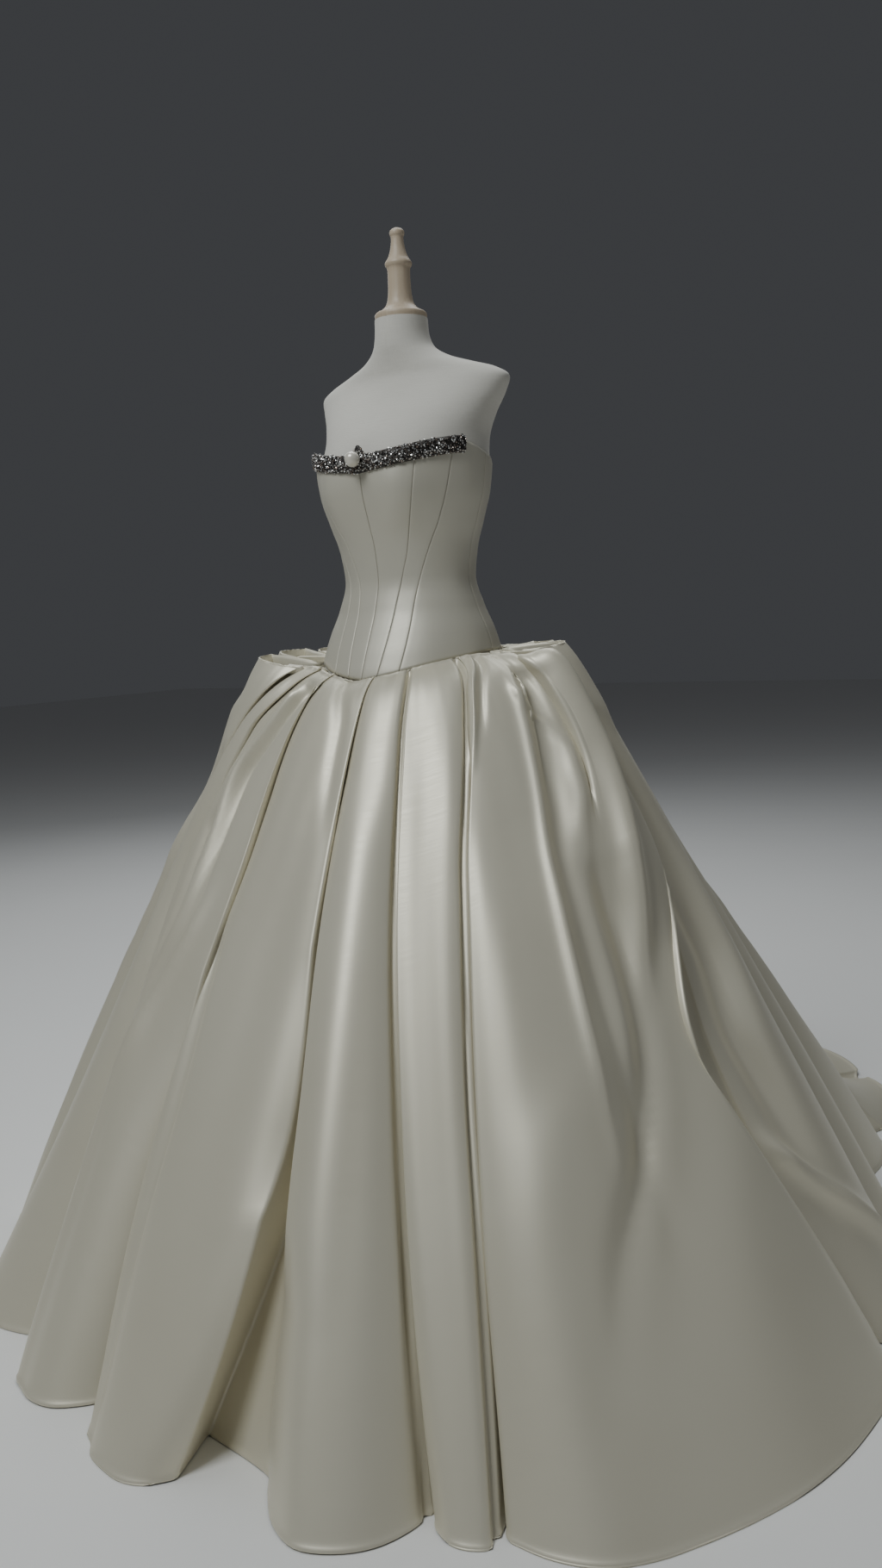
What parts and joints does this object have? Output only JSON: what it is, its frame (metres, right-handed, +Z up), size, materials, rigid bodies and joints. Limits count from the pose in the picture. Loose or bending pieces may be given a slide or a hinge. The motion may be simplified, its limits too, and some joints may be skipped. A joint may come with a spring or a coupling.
{
  "type": "wedding dress on dress form",
  "caption": "Strapless drop-waist ball gown with deep pleats, a beaded neckline band and a short train, shown on a limbless dress form with a round base.",
  "frame": {"origin": "on the floor, at the middle of the underside of the stand's base", "axes": "+Z up; the front of the gown faces -Y and the train runs along +Y; the wearer's left is +X"},
  "size_m": [1.5265, 1.9521, 1.632],
  "materials": {
    "duchess_satin": "heavy ivory satin with a soft sheen",
    "crystal_beadwork": "clear and silver crystals with small pearls",
    "pearl": "lustrous",
    "form_linen": "plain stretched cloth, matt",
    "turned_wood": "pale turned wood, oiled",
    "painted_steel": "dark satin paint"
  },
  "bodies": {
    "root": {"bodice_front_left": "duchess_satin", "bodice_front_right": "duchess_satin", "bodice_side_front_left": "duchess_satin", "bodice_side_front_right": "duchess_satin", "bodice_side_left": "duchess_satin", "bodice_side_right": "duchess_satin", "bodice_side_back_left": "duchess_satin", "bodice_side_back_right": "duchess_satin", "bodice_back_left": "duchess_satin", "bodice_back_right": "duchess_satin", "skirt_front": "duchess_satin", "skirt_front_left": "duchess_satin", "skirt_front_right": "duchess_satin", "skirt_side_left": "duchess_satin", "skirt_side_right": "duchess_satin", "skirt_back_left": "duchess_satin", "skirt_back_right": "duchess_satin", "neckline_band": "crystal_beadwork", "centre_pearl": "pearl", "form_body": "form_linen", "form_finial": "turned_wood", "form_pole": "painted_steel", "form_base": "painted_steel"}
  },
  "joints": []
}
